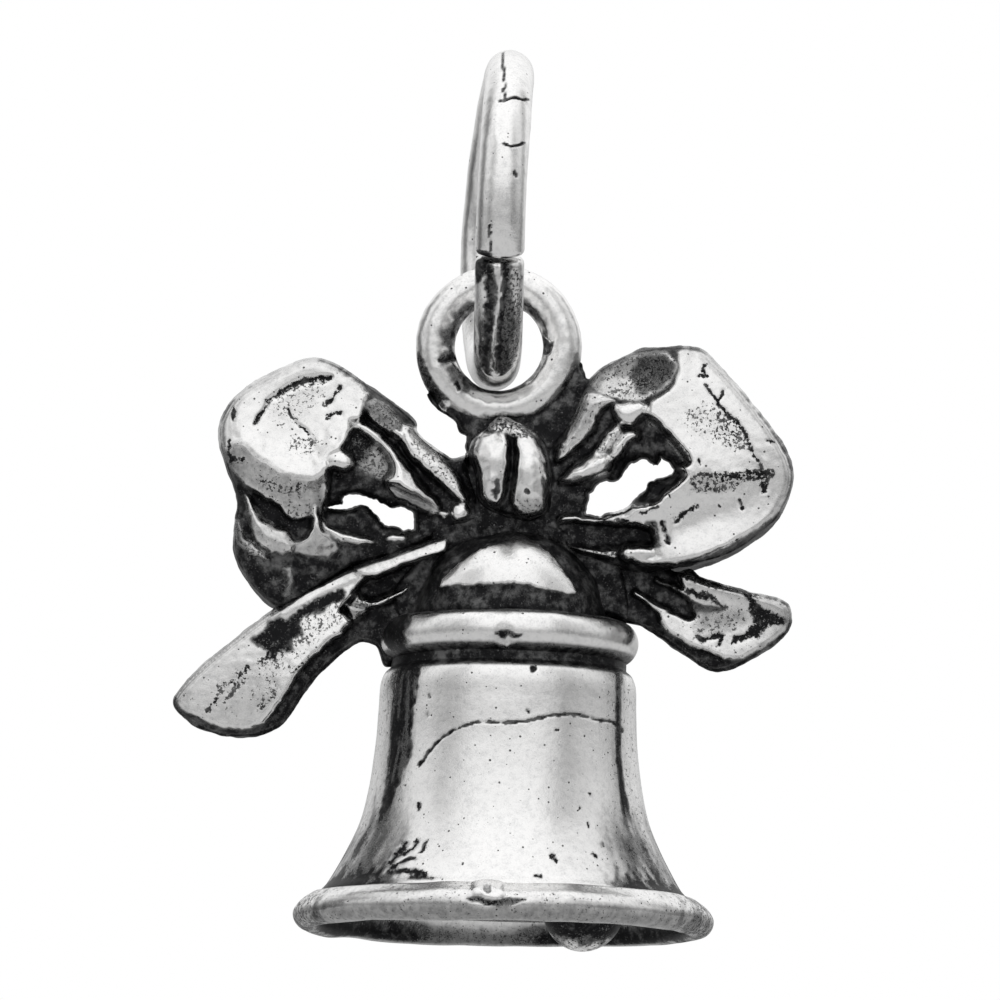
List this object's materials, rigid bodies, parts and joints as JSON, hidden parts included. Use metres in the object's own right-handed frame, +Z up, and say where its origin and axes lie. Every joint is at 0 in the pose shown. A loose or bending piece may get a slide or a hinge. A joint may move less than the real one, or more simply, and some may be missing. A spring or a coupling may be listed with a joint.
{
  "type": "bell ornament",
  "caption": "Small antiqued-silver bell charm with a ribbon bow on top, a ball clapper inside, and a round jump ring through its hanging eye.",
  "frame": {"origin": "inner top surface of the jump ring, where a chain link or hook carries it", "axes": "+Z up along the hanging direction, -Y out of the bow's front, +X to the viewer's right"},
  "size_m": [0.0127, 0.0086, 0.0187],
  "materials": {
    "polished_silver": "bright worn silver wire with faint scratches",
    "antiqued_silver": "polished on the high spots, black oxide left in the hollows",
    "oxidised_silver": "dark oxidised silver, satin"
  },
  "bodies": {
    "ring": {"jump_ring": "polished_silver"},
    "charm": {"hanging_eye": "polished_silver", "bow_core": "oxidised_silver", "knot_front": "antiqued_silver", "knot_back": "antiqued_silver", "bow_loop_left": "antiqued_silver", "bow_loop_right": "antiqued_silver", "ribbon_tail_left": "antiqued_silver", "ribbon_tail_right": "antiqued_silver", "bell_crown": "antiqued_silver", "shoulder_band": "antiqued_silver", "bell_body": "antiqued_silver", "rim_bead": "antiqued_silver", "clapper_staple": "oxidised_silver"},
    "clapper": {"clapper_stem": "oxidised_silver", "clapper_ball": "antiqued_silver"}
  },
  "joints": [
    {"name": "charm_swing", "type": "hinge", "parent": "ring", "child": "charm", "pos_m": [-0.00007, 0, -0.0055], "axis": [0, 1, 0], "range_deg": [-85, 85]},
    {"name": "clapper_swing", "type": "hinge", "parent": "charm", "child": "clapper", "pos_m": [0.00033, 0, -0.01105], "axis": [0, -1, 0], "range_deg": [-38, 6.2]}
  ]
}
